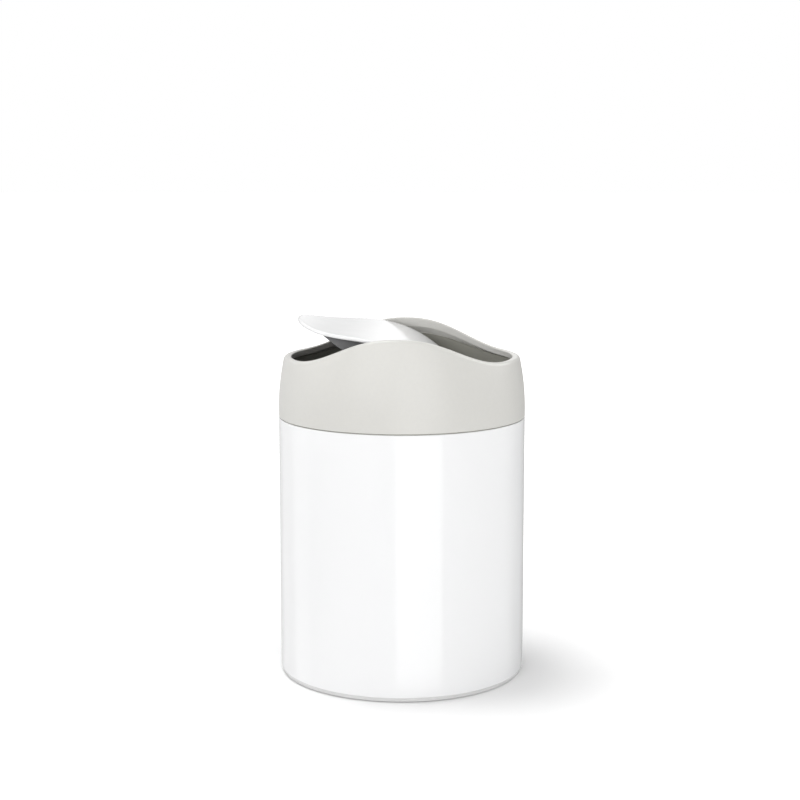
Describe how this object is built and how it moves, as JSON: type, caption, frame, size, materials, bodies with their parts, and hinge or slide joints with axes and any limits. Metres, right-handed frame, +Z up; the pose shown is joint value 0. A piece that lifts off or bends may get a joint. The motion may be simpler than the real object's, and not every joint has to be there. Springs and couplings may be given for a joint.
{
  "type": "push top countertop bin",
  "caption": "Round white steel countertop bin with a lift-off grey lid ring, wave-shaped rim and an arched flap that tips open either way when one end is pushed.",
  "frame": {"origin": "centre of the round base, on the table", "axes": "+Z up; X along the flap, from the raised end at -X to the pushed end at +X; Y along the flap's pivot, with the front at -Y"},
  "size_m": [0.12, 0.12, 0.1747],
  "materials": {
    "body_paint": "gloss white enamel on steel",
    "floor_steel": "bare galvanised sheet",
    "base_grey": "matte moulded",
    "grip_rubber": "matte rubber",
    "carrier_grey": "matte moulded",
    "lid_grey": "satin, fine moulded grain, warm grey",
    "bush_acetal": "satin acetal",
    "flap_white": "polished white",
    "frame_grey": "matte moulded, dark grey",
    "pin_steel": "bright steel",
    "weight_steel": "zinc plated bar"
  },
  "bodies": {
    "bin": {"body_shell": "body_paint", "floor_pan": "floor_steel", "base_ring": "base_grey", "grip_ring": "grip_rubber"},
    "lid": {"lid_carrier": "carrier_grey", "lid_ring": "lid_grey", "front_bush": "bush_acetal", "back_bush": "bush_acetal"},
    "flap": {"flap_cover": "flap_white", "flap_frame": "frame_grey", "front_pin": "pin_steel", "back_pin": "pin_steel", "balance_weight": "weight_steel", "weight_screws": "pin_steel"}
  },
  "joints": [
    {"name": "lid_lift", "type": "slide", "parent": "bin", "child": "lid", "axis": [0, 0, 1], "range_m": [0, 0.06]},
    {"name": "flap_swing", "type": "hinge", "parent": "lid", "child": "flap", "pos_m": [0, 0, 0.158], "axis": [0, 1, 0], "range_deg": [-83.8, 36.2]}
  ]
}
